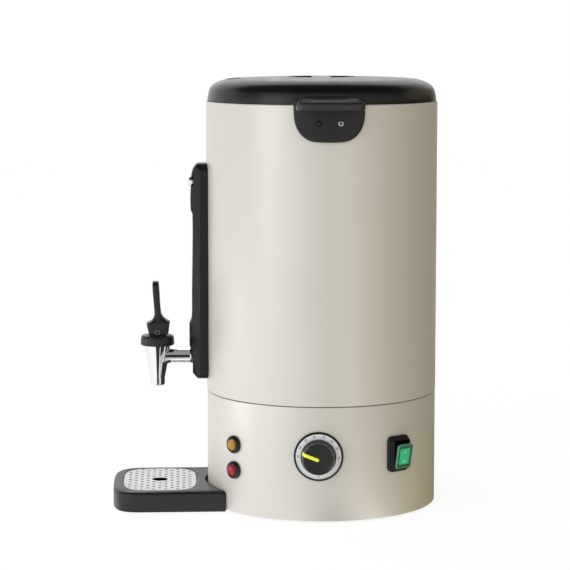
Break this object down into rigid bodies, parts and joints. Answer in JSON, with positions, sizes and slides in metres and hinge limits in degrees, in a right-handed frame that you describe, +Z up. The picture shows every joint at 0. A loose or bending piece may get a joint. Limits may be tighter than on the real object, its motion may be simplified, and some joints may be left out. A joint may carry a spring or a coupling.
{
  "type": "hot water urn",
  "caption": "Cylindrical double-walled hot water urn with a lift-off lid, sight gauge, lever tap, thermostat dial, rocker switch, signal lamps, side handles and a pull-out drip tray.",
  "frame": {"origin": "on the body's vertical axis, at the level of the surface it stands on", "axes": "+Z up; the tap, the gauge and the drip tray point along -X; the two side handles lie along +Y and -Y, with the controls on the -Y side"},
  "size_m": [0.339, 0.302, 0.445],
  "materials": {
    "body_paint": "satin",
    "black_plastic": "matt",
    "base_paint": "semi-matt powder coat",
    "foot_rubber": "matt",
    "zinc_steel": "zinc plated",
    "bright_screw": "nickel plated",
    "stainless": "satin stainless",
    "collar_silicone": "matt",
    "spreader_aluminium": "rolled",
    "element_sheath": "heat-darkened",
    "ceramic": "unglazed",
    "copper_line": "drawn copper",
    "galvanised": "galvanised sheet",
    "phenolic": "moulded",
    "shaft_metal": "turned",
    "gloss_black": "gloss",
    "dial_silver": "satin foil",
    "knob_black": "satin",
    "pointer_yellow": "satin",
    "rocker_green": "translucent",
    "rocker_face_green": "translucent",
    "amber": "translucent",
    "red": "translucent",
    "gland_nylon": "moulded",
    "terminal_nylon": "moulded",
    "wire_insulation": "extruded",
    "gauge_black": "satin",
    "gauge_glass": "clear",
    "silicone_red": "matt",
    "tap_chrome": "polished",
    "tap_black": "satin",
    "seat_silicone": "matt",
    "spring_steel": "drawn",
    "handle_black": "satin",
    "lid_black": "satin",
    "seal_silicone": "matt",
    "tray_black": "satin",
    "grate_steel": "satin"
  },
  "bodies": {
    "root": {"outer_shell": "body_paint", "base_ring": "body_paint", "support_ring": "black_plastic", "base_plate": "base_paint", "foot_ring": "foot_rubber", "base_screws": "zinc_steel", "base_nuts": "zinc_steel", "inner_tank": "stainless", "top_collar": "collar_silicone", "heat_spreader": "spreader_aluminium", "heating_element": "element_sheath", "boil_dry_cutout": "ceramic", "sensor_bulb": "copper_line", "heat_shield": "galvanised", "thermostat_body": "phenolic", "dial_bezel": "gloss_black", "dial_plate": "dial_silver", "switch_housing": "gloss_black", "lamp_bezels": "gloss_black", "amber_lens": "amber", "red_lens": "red", "lamp_nuts": "black_plastic", "cable_gland": "gland_nylon", "gland_nut": "gland_nylon", "terminal_block": "terminal_nylon", "internal_wiring": "wire_insulation", "gauge_housing": "gauge_black", "gauge_tube": "gauge_glass", "gauge_window": "gauge_glass", "gauge_seals": "silicone_red", "gauge_tee": "stainless", "gauge_elbow": "stainless", "gauge_screw": "bright_screw", "tap_body": "tap_chrome", "tap_nut": "stainless", "tap_washer": "silicone_red", "tap_bonnet": "tap_black", "side_handle_right": "handle_black", "side_handle_left": "handle_black", "handle_screws": "bright_screw", "handle_backplates": "galvanised"},
    "lid": {"lid_shell": "lid_black", "lid_liner": "stainless", "lid_seal": "seal_silicone", "vent_cap": "black_plastic", "lid_screws": "zinc_steel"},
    "knob": {"control_knob": "knob_black", "knob_pointer": "pointer_yellow", "thermostat_shaft": "shaft_metal"},
    "rocker": {"switch_rocker": "rocker_green", "rocker_face": "rocker_face_green"},
    "stem": {"valve_stem": "stainless", "seat_cup": "seat_silicone", "valve_spring": "spring_steel"},
    "lever": {"tap_lever": "tap_black", "lever_pin": "zinc_steel"},
    "tray": {"drip_tray": "tray_black"},
    "grate": {"drip_grate": "grate_steel"}
  },
  "joints": [
    {"name": "lid_lift", "type": "slide", "parent": "root", "child": "lid", "axis": [0, 0, 1], "range_m": [0, 0.12]},
    {"name": "knob_turn", "type": "hinge", "parent": "root", "child": "knob", "pos_m": [-0.01025, -0.11956, 0.0686], "axis": [0.0854, 0.9963, 0], "range_deg": [-21, 161]},
    {"name": "rocker_press", "type": "hinge", "parent": "root", "child": "rocker", "pos_m": [0.07214, -0.09714, 0.0666], "axis": [-0.8028, -0.5962, 0], "range_deg": [0, 20]},
    {"name": "stem_lift", "type": "slide", "parent": "root", "child": "stem", "axis": [0, 0, 1], "range_m": [0, 0.0042], "deforming": ["valve_spring"]},
    {"name": "lever_tilt", "type": "hinge", "parent": "stem", "child": "lever", "pos_m": [-0.172, 0, 0.1794], "axis": [0, -1, 0], "range_deg": [0, 25], "stiffness_Nm_per_rad": 0.6, "springref_deg": -17.19},
    {"name": "tray_slide", "type": "slide", "parent": "root", "child": "tray", "axis": [-1, 0, 0], "range_m": [0, 0.13]},
    {"name": "grate_lift", "type": "slide", "parent": "tray", "child": "grate", "axis": [0, 0, 1], "range_m": [0, 0.06]}
  ],
  "couplings": [
    {"joint": "stem_lift", "follows": "lever_tilt", "m_per_rad": 0.00917}
  ]
}
